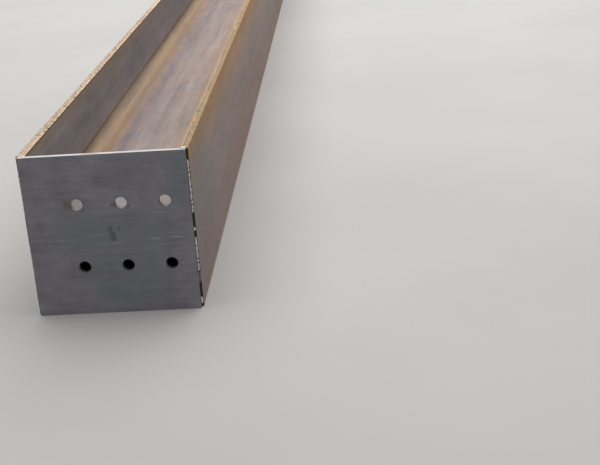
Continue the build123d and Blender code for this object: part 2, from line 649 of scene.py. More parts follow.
    def ends(self, colour: Socket) -> Socket:
        """Lays the painted highlight on the near corners, the painted shade of the step on the near end
        and the sawn far end over the colour.

        Args:
            colour: The colour of faces and toes.

        Returns:
            The mixed colour.
        """
        recipe = self.recipe
        # Painted highlight: the outer corners at the near end, broken up by the crumbs pattern.
        corner = recipe.ease(recipe.from_plate, 3 * MM, 1.5 * MM)
        highlight_breaks = recipe.ease(recipe.crumbs, 0.60, 0.40, 0.3, 0.9)
        # Painted shade: the end face in the step is near black, and grey along the unshaded stretch.
        near = recipe.blend(self.step_shade, self.weld_grey_and_plate_shade, recipe.band(recipe.up, *UNSHADED_SEAM))
        saw_mark = recipe.cloud((3, 1, 900), detail=2)
        far = recipe.dimmed(self.sawn, recipe.spread(saw_mark, 0.8, 1.15))
        far = recipe.blend(far, self.orange, recipe.ease(recipe.cloudy, 0.48, 0.62, 0.0, 0.55))
        far_end = recipe.sizes.far_end
        return recipe.layered(
            colour,
            (self.edge_highlight, recipe.outside, corner, highlight_breaks),
            (near, recipe.ease(recipe.from_plate, 0.2 * MM, 0.05 * MM)),
            (far, recipe.ease(recipe.along, far_end - 0.4 * MM, far_end - 0.1 * MM)),
        )

    def make(self) -> bpy.types.Material:
        """Mixes the finish of the rolled section.

        Returns:
            The material.
        """
        recipe = self.recipe
        colour = self.heat(self.toe_edges(self.faces()))
        colour = self.ends(recipe.blend(colour, self.toe(), recipe.on_toe))
        rusty = recipe.either(recipe.on_toe, recipe.spill)
        rough = recipe.either(recipe.spread(recipe.grit, 0.50, 0.68), recipe.product(rusty, 0.86))
        grain = recipe.total(recipe.grit, recipe.crumbs)
        coarse = recipe.product(grain, recipe.ease(rusty, 0, 1, 0.2, 1.0))
        height = recipe.total(coarse, recipe.product(recipe.streak, 0.4))
        return recipe.finish(colour, rough, recipe.relief(height, 0.7 * MM, 0.6), shine=0.35)


class Smudge(NamedTuple):
    """A pale mark rubbed level across the plate's face."""

    start: float
    end: float
    height: float
    reach: float
    strength: float


class PlateRecipe(Recipe):
    """The plate's recipe, with its random patterns and its distances.

    rolled runs across the plate, wide and patch are blotches an arm and a hand long, broken
    and grit are small. off_axis and off_middle are distances from the plate's middle.
    """

    def __init__(self) -> None:
        """Starts the material and adds what its layers are made of."""
        super().__init__("plate_scale_and_heat_tint")
        self.sizes = sizes = PlateSizes()
        self.patch = self.cloud((17, 17, 17), detail=5, roughness=0.6)
        self.wide = self.cloud((6, 6, 8), (2.0, 0.0, 4.0), detail=3)
        self.rolled = self.cloud((16, 16, 120), (1.0, 4.0, 0.0), detail=5, swirl=0.3)
        self.grit = self.cloud((480, 480, 480), detail=3, roughness=0.7)
        self.broken = self.cloud((60, 60, 170), (3.0, 3.0, 3.0), roughness=0.65)
        self.off_axis = self.distance(self.across, 0.0)
        self.off_middle = self.distance(self.up, sizes.middle)


@dataclass(frozen=True)
class PlateFinish:
    """Dark scale on flat plate, with heat tint along the web and bright cut edges.

    A stain or a spot of soot is its place across the plate, its height and its reach.
    """

    recipe: PlateRecipe = field(default_factory=PlateRecipe)
    violet_grey: Tone = Tone(0.212, 0.205, 0.232)
    teal: Tone = Tone(0.172, 0.198, 0.211)
    violet: Tone = Tone(0.275, 0.225, 0.250)
    smudge_tone: Tone = Tone(0.34, 0.35, 0.36)
    soot: Tone = Tone(0.105, 0.115, 0.118)
    cut: Tone = Tone(0.60, 0.58, 0.57)
    side_scale_and_shade: Tone = Tone(0.085, 0.075, 0.070)
    bore: Tone = Tone(0.21, 0.20, 0.195)
    rust: Tone = Tone(0.17, 0.105, 0.065)
    stain: Tone = Tone(0.185, 0.115, 0.080)
    stains: tuple[Point, ...] = (
        (-71 * MM, 213 * MM, 8 * MM),
        (12 * MM, 210 * MM, 7 * MM),
        (37 * MM, 206 * MM, 5 * MM),
    )
    soot_spots: tuple[Point, ...] = (
        (0 * MM, 164 * MM, 6.5 * MM),
        (4 * MM, 154 * MM, 6 * MM),
        (5 * MM, 145 * MM, 5 * MM),
        (15 * MM, 164 * MM, 4 * MM),
    )
    smudges: tuple[Smudge, ...] = (
        Smudge(72 * MM, 143 * MM, 141.5 * MM, 1.6 * MM, 0.75),
        Smudge(80 * MM, 138 * MM, 149.5 * MM, 2.2 * MM, 0.40),
        Smudge(-145 * MM, -68 * MM, 146.5 * MM, 0.8 * MM, 0.65),
        Smudge(-45 * MM, 55 * MM, 232 * MM, 4.0 * MM, 0.32),
        Smudge(-40 * MM, 10 * MM, 154 * MM, 2.4 * MM, 0.40),
        Smudge(-30 * MM, 25 * MM, 138 * MM, 2.0 * MM, 0.30),
        Smudge(42 * MM, 62 * MM, 240 * MM, 1.2 * MM, 0.35),
        Smudge(-80 * MM, -60 * MM, 161 * MM, 0.8 * MM, 0.35),
        Smudge(20 * MM, 95 * MM, 47 * MM, 3.0 * MM, 0.22),
        Smudge(-110 * MM, -40 * MM, 62 * MM, 2.6 * MM, 0.18),
    )

    def smudge(self, mark: Smudge) -> Socket:
        """Where one rubbed mark shows, bent and broken up by the patterns.

        Args:
            mark: The mark.

        Returns:
            The mask.
        """
        recipe = self.recipe
        middle, half = (mark.start + mark.end) / 2, (mark.end - mark.start) / 2
        level = recipe.shifted(recipe.up, 16 * MM, recipe.patch)
        level = recipe.band(level, mark.height, 0.4 * mark.reach, 1.6 * mark.reach)
        length = recipe.band(recipe.across, middle, half - 8 * MM, 18 * MM)
        return recipe.product(level, length, recipe.ease(recipe.broken, 0.38, 0.62, 0.05, mark.strength))

    def blot(self, spot: Point) -> Socket:
        """Where one ragged dark spot shows.

        Args:
            spot: The spot.

        Returns:
            The mask.
        """
        recipe = self.recipe
        x, z, reach = spot
        away = recipe.length(recipe.distance(recipe.across, x), recipe.distance(recipe.up, z))
        ragged = recipe.shifted(away, 2.6 * reach, recipe.broken)
        return recipe.ease(ragged, 1.25 * reach, 0.35 * reach, 0.0, 0.85)

    def burr(self) -> Socket:
        """Where the dark rims of the bolt holes show.

        Returns:
            The mask.
        """
        recipe = self.recipe
        sizes = recipe.sizes
        sideways = recipe.fold("MINIMUM", *(recipe.distance(recipe.across, x) for x in sizes.hole_x))
        away = recipe.length(sideways, recipe.distance(recipe.off_middle, sizes.gauge / 2))
        ragged = recipe.shifted(away, 2 * MM, recipe.broken)
        return recipe.ease(ragged, sizes.hole_radius + 2.5 * MM, sizes.hole_radius)

    def tints(self, colour: Socket) -> Socket:
        """Lays the heat tints of the welds behind over the face.

        Args:
            colour: The face's colour.

        Returns:
            The tinted colour.
        """
        recipe = self.recipe
        across, up, patch = recipe.across, recipe.up, recipe.patch
        level = recipe.ease(recipe.shifted(recipe.off_middle, 70 * MM, recipe.wide), 46 * MM, 6 * MM)
        along_web = recipe.product(level, recipe.band(across, 5 * MM, 75 * MM, 60 * MM))
        low = recipe.band(up, 72 * MM, 35 * MM, 30 * MM)
        below = recipe.product(recipe.band(across, 25 * MM, 40 * MM, 40 * MM), low)
        high = recipe.band(up, 248 * MM, 35 * MM, 25 * MM)
        right = recipe.product(recipe.ease(across, 100 * MM, 132 * MM), high)
        left, top = recipe.ease(across, -80 * MM, -142 * MM), recipe.ease(up, 235 * MM, 300 * MM)
        heated = recipe.either(along_web, below, right)
        return recipe.layered(
            colour,
            (self.teal, heated, recipe.ease(patch, 0.40, 0.56, 0.1, 0.95)),
            (self.violet, left, top, recipe.ease(patch, 0.35, 0.6, 0.15, 0.8)),
        )

    def edges(self) -> Socket:
        """The colour of the cut edges, with painted shade on the sides, and of the bores.

        Returns:
            The colour.
        """
        recipe = self.recipe
        side, middle = recipe.sizes.high.x, recipe.sizes.middle
        cut = recipe.dimmed(self.cut, recipe.spread(recipe.grit, 0.85, 1.15))
        cut = recipe.blend(cut, self.rust, recipe.ease(recipe.patch, 0.5, 0.7, 0.0, 0.4))
        at_side = recipe.ease(recipe.off_axis, side - 2 * MM, side - 1 * MM)
        at_top = recipe.ease(recipe.off_middle, middle - 2 * MM, middle - 1 * MM)
        # Partly dark scale, partly painted shade of the step: the sides are dark except along the unshaded
        # stretch.
        rim = recipe.blend(self.side_scale_and_shade, self.violet_grey, recipe.band(recipe.up, *UNSHADED_SEAM))
        bore = recipe.blend(self.bore, self.rust, recipe.ease(recipe.broken, 0.45, 0.65, 0.0, 0.5))
        return recipe.blend(bore, recipe.blend(rim, cut, at_top), recipe.either(at_side, at_top))

    def make(self) -> bpy.types.Material:
        """Mixes the finish of the end plate.

        Returns:
            The material.
        """
        recipe = self.recipe
        front, back = recipe.sizes.low.y, recipe.sizes.high.y
        light = recipe.ease(recipe.off_middle, 60 * MM, 150 * MM, 0.99, 1.06)
        light = recipe.varied(light, (recipe.rolled, 0.09), (recipe.patch, 0.15), (recipe.grit, 0.06))
        behind_front = recipe.ease(recipe.along, front + 0.1 * MM, front + 0.6 * MM)
        before_back = recipe.ease(recipe.along, back - 0.1 * MM, back - 0.6 * MM)
        colour = recipe.layered(
            self.tints(recipe.dimmed(self.violet_grey, light)),
            *((self.smudge_tone, self.smudge(mark)) for mark in self.smudges),
            *((self.soot, self.blot(spot)) for spot in self.soot_spots),
            *((self.stain, self.blot(spot)) for spot in self.stains),
            (self.soot, self.burr(), 0.6),
            (self.edges(), behind_front, before_back),
        )
        height = recipe.total(recipe.product(recipe.grit, 0.3), recipe.product(recipe.patch, 0.7))
        relief = recipe.relief(height, 0.3 * MM, 0.5)
        return recipe.finish(colour, recipe.spread(recipe.grit, 0.50, 0.66), relief, shine=0.4)


@dataclass(frozen=True)
class WeldFinish:
    """Weld metal, with painted highlights on the crests of the ripples and painted shade in the creases;
    dark where it meets the steel, partly soot and partly painted shade.
    """

    glint: Tone = Tone(0.95, 0.95, 0.93)
    crest: Tone = Tone(0.74, 0.74, 0.71)
    flank: Tone = Tone(0.33, 0.33, 0.31)
    soot: Tone = Tone(0.045, 0.042, 0.040)
    height_name: str = "bead_height"

    def make(self) -> bpy.types.Material:
        """Mixes the finish of every bead and tack.

        Returns:
            The material.
        """
        recipe = Recipe("weld_metal")
        high = recipe.node("ShaderNodeAttribute", attribute_name=self.height_name).outputs["Fac"]
        grit = recipe.cloud((260, 260, 260), roughness=0.6)
        ragged = recipe.shifted(high, 0.4, grit)
        # Painted light: dark at the bead's edges, partly soot and partly painted shade, up to a painted
        # highlight on the crests.
        stops = [(0.12, self.soot), (0.36, self.flank), (0.78, self.crest), (0.98, self.glint)]
        rough = recipe.ease(ragged, 0.2, 0.8, 0.7, 0.34)
        relief = recipe.relief(grit, 0.3 * MM, 0.5)
        return recipe.finish(recipe.ramp(ragged, stops), rough, relief, metallic=0.25)


@dataclass(frozen=True)
class FloorFinish:
    """Plain pale floor."""

    pale: Tone = Tone(0.49, 0.475, 0.457)

    def make(self) -> bpy.types.Material:
        """Mixes the floor's finish.

        Returns:
            The material.
        """
        recipe = Recipe("pale_floor")
        wear = recipe.cloud((1.3, 1.3, 1.3))
        return recipe.finish(recipe.dimmed(self.pale, recipe.spread(wear, 0.97, 1.03)), roughness=0.85)


@dataclass(frozen=True)
class Patch:
    """A rectangle on the square map that a piece's finish is baked to."""

    left: float = 0.0
    low: float = 0.0
    right: float = 1.0
    high: float = 1.0

    def at(self, across: float, up: float) -> Spot:
        """The spot at these shares of its width and height."""
        return (self.left + across * (self.right - self.left), self.low + up * (self.high - self.low))

    def lanes(self, count: int, gap: float = 0.01) -> list["Patch"]:
        """Divides it into equal parts, one above the other.

        Args:
            count: How many parts there are.
            gap: The space between them.

        Returns:
            The parts, the lowest first.
        """
        step = (self.high - self.low + gap) / count
        lows = [self.low + index * step for index in range(count)]
        return [Patch(self.left, low, self.right, low + step - gap) for low in lows]


class MeshMaker:
    """Collects vertices and faces, with one vertex for each place."""

    def __init__(self) -> None:
        """Starts an empty mesh."""
        self.points: list[Point] = []
        self.known: dict[tuple[int, int, int], int] = {}
        self.faces: list[list[int]] = []
        self.spots: list[list[Spot]] = []
        self.flat_from = 0
        self.heights: list[float] = []

    def vertex(self, x: float, y: float, z: float, height: float = 0.0) -> int:
        """The vertex at a place, made if it is new.

        Args:
            x: Its place across the section.
            y: Its place along the beam.
            z: Its height above the floor.
            height: How far it stands out of a weld bead, from 0 to 1, times the painted light and shade
                that the weld finish reads from it.

        Returns:
            Its index.
        """
        key = (round(x * 1e6), round(y * 1e6), round(z * 1e6))
        if key not in self.known:
            self.known[key] = len(self.points)
            self.points.append((x, y, z))
            self.heights.append(height)
        return self.known[key]

    def face(self, corners: list[int], spots: list[Spot] | None = None) -> None:
        """Adds a face, without the corners that fell together.

        Args:
            corners: Its vertices in order.
            spots: Their spots on the map, or none if lay_flat() sets them.
        """
        kept = [index for index, corner in enumerate(corners) if corner != corners[index - 1]]
        if len(kept) > 2:
            spots = spots or [(0.0, 0.0)] * len(corners)
            self.faces.append([corners[index] for index in kept])
            self.spots.append([spots[index] for index in kept])

    def grid(self, first: list[int], second: list[int], closed: bool = True) -> None:
        """Joins two rows, which are rings if closed, by quads whose spots lay_flat() sets."""
        for index in range(0 if closed else 1, len(first)):
            self.face([first[index - 1], first[index], second[index], second[index - 1]])

    def strip(
        self,
        first: list[int],
        second: list[int],
        patch: Patch,
        span: Span,
        marks: list[float] | None = None,
    ) -> None:
        """Joins two rings of vertices by quads that lie unrolled on the map.

        Args:
            first: One ring.
            second: The ring beside it.
            patch: The part of the map that holds them.
            span: The two rings' places across the patch.
            marks: Their places up the patch, with one more for the seam, or none if they are even.
        """
        marks = marks or shares(len(first))
        lows, highs = [marks[-2], *marks[:-2]], [marks[-1], *marks[1:-1]]
        for index, (low, high) in enumerate(zip(lows, highs)):
            corners = [first[index - 1], first[index], second[index], second[index - 1]]
            places = [(span[0], low), (span[0], high), (span[1], high), (span[1], low)]
            self.face(corners, [patch.at(*place) for place in places])
        self.flat_from = len(self.faces)

    def lay_flat(self, patch: Patch, right: int, up: int) -> None:
        """Lays the faces added since the last ones with a spot flat on the map.

        Args:
            patch: The part of the map that they fill.
            right: The axis that runs across it.
            up: The axis that runs up it.
        """
        faces = self.faces[self.flat_from :]
        corners = {corner for face in faces for corner in face}
        rights, ups = ([self.points[corner][axis] for corner in corners] for axis in (right, up))
        left, low = min(rights), min(ups)
        width, height = max(rights) - left, max(ups) - low
        places = zip(corners, rights, ups)
        at = {corner: patch.at((x - left) / width, (y - low) / height) for corner, x, y in places}
        self.spots[self.flat_from :] = [[at[corner] for corner in face] for face in faces]
        self.flat_from = len(self.faces)

    def piece(self, name: str, crease_degrees: float) -> bpy.types.Object:
        """Makes the object.

        Args:
            name: The piece's name.
            crease_degrees: Edges sharper than this stay sharp, and the rest are smooth.

        Returns:
            The new object.
        """
        mesh = bpy.data.meshes.new(name)
        mesh.from_pydata(self.points, [], self.faces)
        mesh.update()
        mesh.polygons.foreach_set("use_smooth", [True] * len(mesh.polygons))
        mesh.set_sharp_from_angle(angle=math.radians(crease_degrees))
        layout = mesh.uv_layers.new(name=MAP_NAME, do_init=False)
        numbers = [number for spots in self.spots for spot in spots for number in spot]
        layout.uv.foreach_set("vector", numbers)
        heights = mesh.attributes.new(WeldFinish.height_name, "FLOAT", "POINT")
        heights.data.foreach_set("value", self.heights)
        piece = bpy.data.objects.new(name, mesh)
        bpy.context.scene.collection.objects.link(piece)
        return piece


def dress(piece: bpy.types.Object, material: bpy.types.Material, slot: str, *nodes: str) -> None:
    """Gives a piece its finish and sets it in place of its CAD nodes.

    Args:
        piece: The piece.
        material: Its finish.
        slot: Not used.
        *nodes: The CAD nodes that it stands for.
    """
    piece.data.materials.append(material)
    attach(piece, "root")
    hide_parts(*nodes)
    log.info("%s: %d faces, for %s", piece.name, len(piece.data.polygons), ", ".join(nodes))


def shares(count: int) -> list[float]:
    """Even steps from 0 to 1, both included."""
    return [step / count for step in range(count + 1)]


def spaced(start: float, end: float, count: int) -> list[float]:
    """Even places from start to end, both included."""
    return [start + share * (end - start) for share in shares(count)]


def turns(count: int, start: float = 0.0) -> list[float]:
    """Even turns round a full circle, in radians."""
    return [start + 2 * math.pi * step / count for step in range(count)]


def ripple(x: float, y: float, z: float, steps: Point = (1.0, 1.0, 1.0)) -> float:
    """A fixed random wave at a place, from 0 to 1, with so many steps per metre."""
    return 0.5 + 0.5 * noise.noise(Vector((x * steps[0], y * steps[1], z * steps[2])))


@dataclass
class RolledSection:
    """The rolled section as one mesh: its outline carried along the beam, slightly uneven.

    Its faces lie up to wave_depth inside the true outline, and its toes up to toe_wave_depth
    more. A point belongs to a toe within toe_rim of its height, if its face is upright enough.
    """

    sizes: SectionSizes = field(default_factory=SectionSizes)
    run_step: float = 12 * MM
    toe_step: float = 3 * MM
    root_steps: int = 12
    corner_steps: int = 4
    near_step: float = 9 * MM
    near_reach: float = 2.2
    far_step: float = 24 * MM
    wave_depth: float = 0.25 * MM
    wave_steps: Point = (14.0, 2.4, 14.0)
    toe_wave_depth: float = 0.5 * MM
    toe_wave_steps: Point = (90.0, 21.0, 5.0)
    toe_rim: float = 1 * MM
    upright: float = 0.9
    crease_degrees: float = 32.0
    map_pad: float = 2 * MM
    sides_patch: Patch = Patch(high=0.875)
    end_patches: tuple[Patch, Patch] = (Patch(0.0, 0.885, 0.2), Patch(0.22, 0.885, 0.42))

    def corners(self) -> list[Point]:
        """The outline's corners in order.

        Returns:
            The X, Z and radius of each.
        """
        size = self.sizes
        outer, inner, top = size.half_depth, size.inner_face, size.top
        under, over = size.middle - size.web_thickness / 2, size.middle + size.web_thickness / 2
        toe, root = size.toe_radius, size.root_radius
        right = [
            (inner, over, root),
            (inner, top, toe),
            (outer, top, toe),
            (outer, 0.0, toe),
            (inner, 0.0, toe),
            (inner, under, root),
        ]
        return right + [(-x, z, radius) for x, z, radius in reversed(right)]

    def outline(self) -> Outline:
        """The outline's points in order.

        Returns:
            Each point with its direction out of the steel.
        """
        corners = self.corners()
        found: Outline = []
        for index, (x, z, radius) in enumerate(corners):
            corner = Vector((x, z))
            before, after = corners[index - 1], corners[(index + 1) % len(corners)]
            back = (Vector(before[:2]) - corner).normalized()
            onward = (Vector(after[:2]) - corner).normalized()
            concave = radius == self.sizes.root_radius
            centre = corner + radius * (back + onward)
            for share in shares(self.root_steps if concave else self.corner_steps):
                turn = share * math.pi / 2
                spoke = -(onward * math.cos(turn) + back * math.sin(turn))
                found.append((centre + radius * spoke, -spoke if concave else spoke))
            start, end = corner + radius * onward, Vector(after[:2]) - after[2] * onward
            length = (end - start).length
            step = self.toe_step if length < self.sizes.flange_thickness else self.run_step
            outward = found[-1][1]
            for share in shares(math.ceil(length / step))[1:-1]:
                found.append((start.lerp(end, share), outward))
        return found

    def stations(self) -> list[float]:
        """The places along the beam that carry the outline, closer together near the plate.

        Returns:
            The places, from the plate on.
        """
        size = self.sizes
        turn = size.near_end + self.near_reach
        near = spaced(size.near_end, turn, round(self.near_reach / self.near_step))
        far = spaced(turn, size.far_end, round((size.far_end - turn) / self.far_step))
        return near + far[1:]

    def dent(self, at: Vector, outward: Vector, y: float) -> float:
        """How far a point lies inside the true outline.

        Args:
            at: The point's place on the outline.
            outward: Its direction out of the steel.
            y: Its place along the beam.

        Returns:
            The depth in metres.
        """
        middle = self.sizes.middle
        depth = self.wave_depth * ripple(at.x, y, at.y, self.wave_steps)
        if abs(outward.y) > self.upright and abs(at.y - middle) > middle - self.toe_rim:
            depth += self.toe_wave_depth * ripple(at.x, y, at.y, self.toe_wave_steps)
        return depth

    def marks(self, outline: Outline) -> list[float]:
        """Where the outline's points lie on the map, with more room for short steps.

        Args:
            outline: The points.

        Returns:
            Shares of the way round, with one more for the seam.
        """
        runs = [0.0]
        for (at, _), (after, _) in pairwise([*outline, outline[0]]):
            runs.append(runs[-1] + (after - at).length + self.map_pad)
        return [run / runs[-1] for run in runs]

    def build(self) -> bpy.types.Object:
        """Carries the outline along the beam and closes both ends.

        Returns:
            The section.
        """
        maker, outline, size = MeshMaker(), self.outline(), self.sizes
        marks, stations = self.marks(outline), self.stations()
        along = [(y - size.near_end) / (size.far_end - size.near_end) for y in stations]
        rows: list[list[int]] = []
        for y in stations:
            row = []
            for at, outward in outline:
                inside = self.dent(at, outward, y)
                row.append(maker.vertex(at.x - outward.x * inside, y, at.y - outward.y * inside))
            rows.append(row)
        for (first, second), span in zip(pairwise(rows), pairwise(along)):
            maker.strip(first, second, self.sides_patch, span, marks)
        for end, patch in zip((rows[0][::-1], rows[-1]), self.end_patches):
            maker.face(end)
            maker.lay_flat(patch, 0, 2)
        return maker.piece("rolled_section", self.crease_degrees)


@dataclass
class EndPlate:
    """The end plate: flat faces, slightly eased edges and six drilled holes.

    Its cut edges lie up to cut_depth inside the true outline, in waves of cut_steps.
    """

    sizes: PlateSizes = field(default_factory=PlateSizes)
    ease: float = 0.5 * MM
    hole_ease: float = 0.4 * MM
    cell_steps: int = 12
    rings: int = 3
    wall_steps: int = 6
    cut_depth: float = 0.25 * MM
    cut_steps: Point = (120.0, 300.0, 120.0)
    crease_degrees: float = 30.0
    front_patch: Patch = Patch(0.0, 0.0, 0.76, 0.78)
    back_patch: Patch = Patch(0.0, 0.80, 0.76, 1.0)
    bores_patch: Patch = Patch(0.78, 0.0, 0.90, 1.0)
    edge_patch: Patch = Patch(0.92, 0.0, 1.0, 1.0)

    def face_cuts(self) -> tuple[list[float], list[float]]:
        """The lines that divide the flat face into cells, each round one hole or none.

        Returns:
            Their X and their Z.
        """
        sizes = self.sizes
        left, right = sizes.low.x + self.ease, sizes.high.x - self.ease
        bottom, top = sizes.low.z + self.ease, sizes.high.z - self.ease
        across = [left] + [x - sizes.pitch / 2 for x in sizes.hole_x] + [right]
        up = [bottom, sizes.middle - sizes.gauge, sizes.middle, sizes.middle + sizes.gauge, top]
        return across, up

    def divided(self, cuts: list[float]) -> list[float]:
        """Even steps within each cell of a row, from the first cut to the last."""
        inner = [place for pair in pairwise(cuts) for place in spaced(*pair, self.cell_steps)[:-1]]
        return [*inner, cuts[-1]]

    def border(self, xs: list[float], zs: list[float]) -> list[Spot]:
        """Points round a rectangle at these X and Z, anticlockwise from the lower left corner."""
        rising = [(x, zs[0]) for x in xs[:-1]] + [(xs[-1], z) for z in zs[:-1]]
        return rising + [(x, zs[-1]) for x in xs[:0:-1]] + [(xs[0], z) for z in zs[:0:-1]]

    def hole_ring(self, x: float, z: float, radius: float) -> list[Spot]:
        """Points round a hole, as many as round its cell, anticlockwise from the lower left."""
        angles = turns(4 * self.cell_steps, math.radians(225))
        return [(x + radius * math.cos(turn), z + radius * math.sin(turn)) for turn in angles]

    def cell(self, sides: Span, levels: Span) -> tuple[list[list[Spot]], bool]:
        """Divides one cell of the flat face.

        Args:
            sides: The X of its sides.
            levels: The Z of its bottom and top.

        Returns:
            Rows of points, and whether they are rings, from the cell's border to its hole.
        """
        xs, zs = spaced(*sides, self.cell_steps), spaced(*levels, self.cell_steps)
        middles = [(x, z) for x, z in self.sizes.holes() if xs[0] < x < xs[-1] and zs[0] < z < zs[-1]]
        if not middles:
            return [[(x, z) for x in xs] for z in zs], False
        rim = self.hole_ring(*middles[0], self.sizes.hole_radius + self.hole_ease)
        pairs = list(zip(self.border(xs, zs), rim))
        rings = [
            [(bx + share * (hx - bx), bz + share * (hz - bz)) for (bx, bz), (hx, hz) in pairs]
            for share in shares(self.rings)
        ]
        return rings, True

    def flat_face(self, maker: MeshMaker, y: float, front: bool) -> None:
        """Adds the front or the back face, open at the holes.

        Args:
            maker: The mesh.
            y: The face's place.
            front: Whether it faces away from the beam.
        """
        across, up = self.face_cuts()
        for sides in pairwise(across):
            for levels in pairwise(up):
                points, ringed = self.cell(sides, levels)
                rows = [[maker.vertex(x, y, z) for x, z in row] for row in points]
                for first, second in pairwise(rows):
                    maker.grid(*((first, second) if front else (second, first)), closed=ringed)
        maker.lay_flat(self.front_patch if front else self.back_patch, 0, 2)

    def outer_ring(self, maker: MeshMaker, y: float, inset: float, wander: float) -> list[int]:
        """Vertices round the plate's outline.

        Args:
            maker: The mesh.
            y: The ring's place.
            inset: How far it lies inside the outline.
            wander: How far the cut wanders inwards.

        Returns:
            The vertices, anticlockwise seen from the front.
        """
        across, up = self.face_cuts()
        ring = []
        for x, z in self.border(self.divided(across), self.divided(up)):
            side = (x == across[-1]) - (x == across[0])
            end = (z == up[-1]) - (z == up[0])
            out = self.ease - inset - wander * ripple(x, y, z, self.cut_steps)
            ring.append(maker.vertex(x + side * out, y, z + end * out))
        return ring

    def bore(self, maker: MeshMaker, middle: Spot, patch: Patch) -> None:
        """Adds the wall of one hole, eased at both ends.

        Args:
            maker: The mesh.
            middle: The hole's middle.
            patch: The part of the map that holds it.
        """
        front, back = self.sizes.low.y, self.sizes.high.y
        steps = [(front, self.hole_ease), (front + self.hole_ease, 0.0)]
        steps += [(back - self.hole_ease, 0.0), (back, self.hole_ease)]
        rows = []
        for y, wider in steps:
            ring = self.hole_ring(*middle, self.sizes.hole_radius + wider)
            rows.append([maker.vertex(x, y, z) for x, z in ring])
        depths = [(y - front) / (back - front) for y, _ in steps]
        for (first, second), span in zip(pairwise(rows), pairwise(depths)):
            maker.strip(first, second, patch, span)

    def build(self) -> bpy.types.Object:
        """Joins the two faces, the cut edges and the bores.

        Returns:
            The plate.
        """
        maker = MeshMaker()
        front, back = self.sizes.low.y, self.sizes.high.y
        self.flat_face(maker, front, True)
        self.flat_face(maker, back, False)
        wall = spaced(front + self.ease, back - self.ease, self.wall_steps)
        rings = [self.outer_ring(maker, front, self.ease, 0.0)]
        rings += [self.outer_ring(maker, y, 0.0, self.cut_depth) for y in wall]
        rings.append(self.outer_ring(maker, back, self.ease, 0.0))
        depths = shares(self.wall_steps + 2)
        for (first, second), (near, far) in zip(pairwise(rings), pairwise(depths)):
            maker.strip(second, first, self.edge_patch, (far, near))
        holes = self.sizes.holes()
        for middle, patch in zip(holes, self.bores_patch.lanes(len(holes))):
            self.bore(maker, middle, patch)
        return maker.piece("plate_with_holes", self.crease_degrees)


@dataclass(frozen=True)
class BeadStation:
    """One place along a weld: its corner and the two faces that the weld joins there."""

    corner: Vector
    plate_way: Vector
    steel_way: Vector


@dataclass
class WeldBead:
    """A bead laid in the corner between two faces, rippled as it was drawn along.

    The legs are its reach on the plate and on the steel. Between its lumps lie creases.
    ripple_shade and crease_shade are the painted shade of ripples and creases, and patch_dull is what
    random patches take from its brightness.
    """

    plate_leg: float
    steel_leg: float
    crown: float = 0.5 * MM
    ripple_pitch: float = 2.4 * MM
    ripple_depth: float = 0.35 * MM
    ripple_lag: float = 1.6 * MM
    lump_pitch: float = 8.5 * MM
    lump_share: float = 0.35
    lump_wander: float = 1.8
    lump_loss: float = 0.15
    crease_gain: float = 3.2
    ripple_shade: float = 0.45
    crease_shade: float = 2.1
    patch_dull: float = 1.4
    brightness: float = 1.15
    seed_steps: float = 7.0
    taper: float = 4 * MM
    least_size: float = 0.02
    face_steps: int = 10
    sink: float = 0.15 * MM
    crease_degrees: float = 60.0
    ends_patch: Patch = Patch(0.0, 0.95, 0.3, 1.0)

    def section(self, station: BeadStation, along: float, size: float) -> list[tuple[Vector, float]]:
        """The bead's outline at one place.

        Args:
            station: The corner that it lies in.
            along: How far it is from the bead's start.
            size: Its relative size there.

        Returns:
            Points from the plate's face to the other one, each with its height out of the bead times its
            painted light and shade.
        """
        # The last number of each ripple keeps that wave apart from the others.
        place, seed = along / self.lump_pitch, station.corner.x * self.seed_steps
        swell = abs(math.sin(math.pi * (place + self.lump_wander * ripple(0.9 * place, seed, 3))))
        crease = (1 - swell) ** 2 * min(1.0, self.crease_gain * ripple(1.3 * place, seed, 6) ** 2)
        lump = 1 - self.lump_share * crease - self.lump_loss * ripple(1.7 * place, seed, 9)
        # Painted shade in the creases, with random patches that dim the bead.
        shade_and_patches = self.crease_shade * crease + self.patch_dull * ripple(4 * place, seed, 8)
        bright = max(0.0, self.brightness - self.lump_share * shade_and_patches)
        plate_leg, steel_leg = self.plate_leg * size * lump, self.steel_leg * size * lump
        corner, plate_way, steel_way = station.corner, station.plate_way, station.steel_way
        out_way = (plate_way * steel_leg + steel_way * plate_leg).normalized()
        found = []
        for share in shares(self.face_steps):
            arch = math.sin(share * math.pi)
            wave = abs(math.sin(math.pi * (along + self.ripple_lag * arch) / self.ripple_pitch))
            rise = arch * (self.crown * size - self.ripple_depth * wave)
            at = corner + plate_way * plate_leg * (1 - share) + steel_way * steel_leg * share
            found.append((at + out_way * rise, arch * (1 - self.ripple_shade * wave) * bright))
        return found

    def lay(self, maker: MeshMaker, stations: list[BeadStation], flip: bool, lanes: list[Patch]) -> None:
        """Adds the bead to a mesh.

        Args:
            maker: The mesh.
            stations: Places along the bead, close together.
            flip: Whether the faces' order is turned round.
            lanes: The parts of the map that hold it, one stretch each.
        """
        lengths = [0.0]
        for first, second in pairwise(stations):
            lengths.append(lengths[-1] + (second.corner - first.corner).length)
        rows = []
        for station, along in zip(stations, lengths):
            near_end = min(along, lengths[-1] - along)
            size = math.sqrt(max(self.least_size, min(1.0, near_end / self.taper)))
            root = station.corner - (station.plate_way + station.steel_way) * self.sink
            row = [maker.vertex(*root, 0.0)]
            row += [maker.vertex(*at, height) for at, height in self.section(station, along, size)]
            rows.append(row)
        stretch = math.ceil((len(rows) - 1) / len(lanes))
        for index, (first, second) in enumerate(pairwise(rows)):
            lane, step = divmod(index, stretch)
            near, far = step / stretch, (step + 1) / stretch
            if flip:
                maker.strip(second, first, lanes[lane], (far, near))
            else:
                maker.strip(first, second, lanes[lane], (near, far))
        for end in (rows[0], rows[-1][::-1]) if flip else (rows[0][::-1], rows[-1]):
            maker.face(end)
        maker.lay_flat(self.ends_patch, 0, 1)


